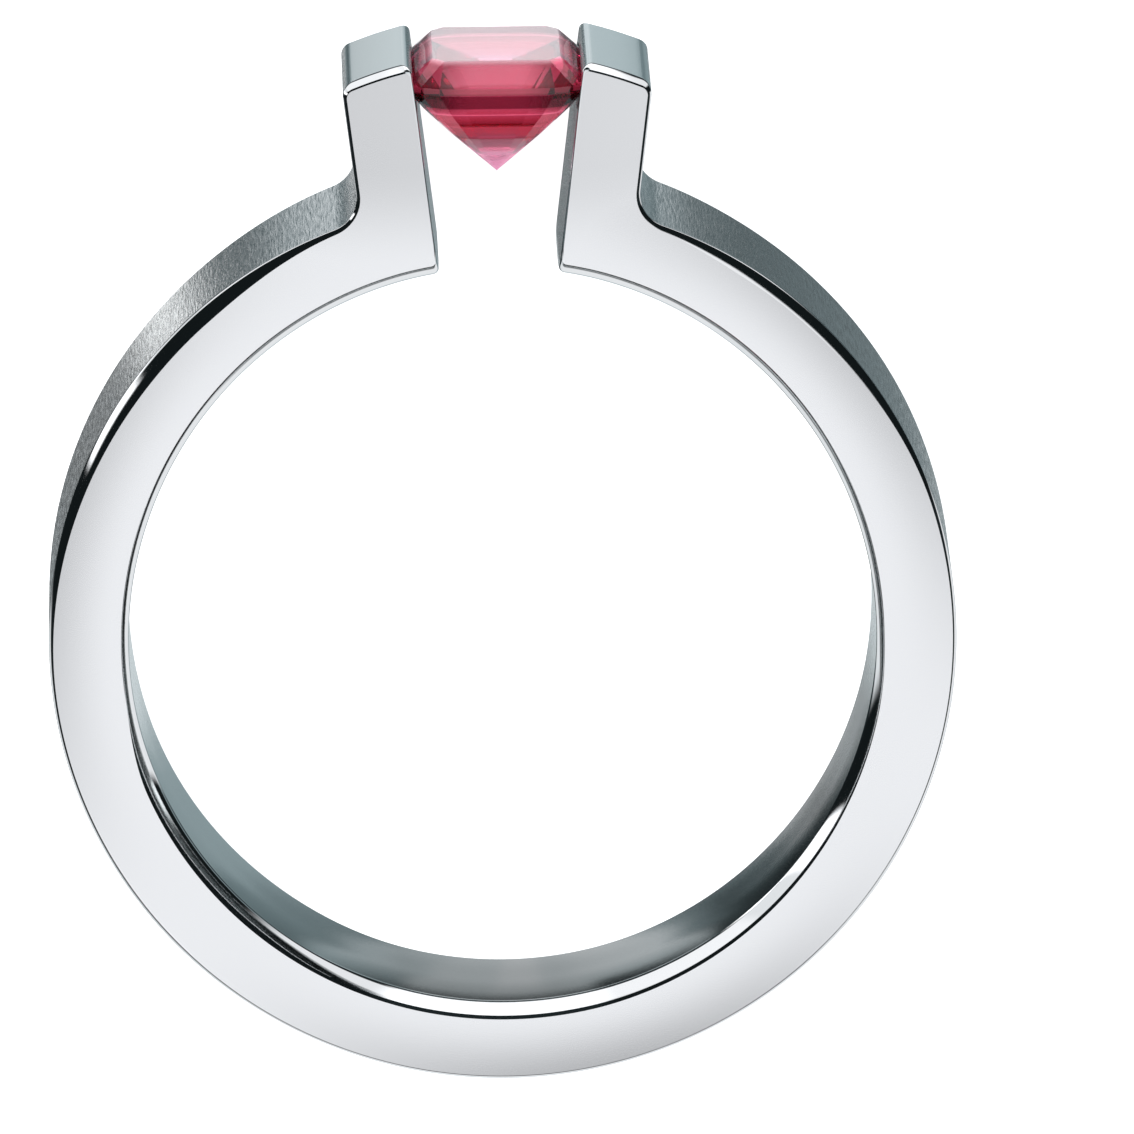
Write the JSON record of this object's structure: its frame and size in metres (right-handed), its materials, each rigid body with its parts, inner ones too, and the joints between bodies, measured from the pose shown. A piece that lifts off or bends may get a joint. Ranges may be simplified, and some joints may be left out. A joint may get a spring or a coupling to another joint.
{
  "type": "tension-set gemstone ring",
  "caption": "Open metal finger ring whose two upturned posts lean outwards and grip a square cut pink-red stone by its edge.",
  "frame": {"origin": "middle of the finger hole, halfway through the band's depth", "axes": "+Z along the finger hole's axis, out of the face shown in the picture; +Y towards the stone; +X to the picture's right"},
  "size_m": [0.0212, 0.0244, 0.0046],
  "materials": {
    "metal": "satin faces and brushed outside, with polished edges and finger hole",
    "gem": "polished facets"
  },
  "bodies": {
    "root": {"band": "metal", "stone": "gem"}
  },
  "joints": []
}
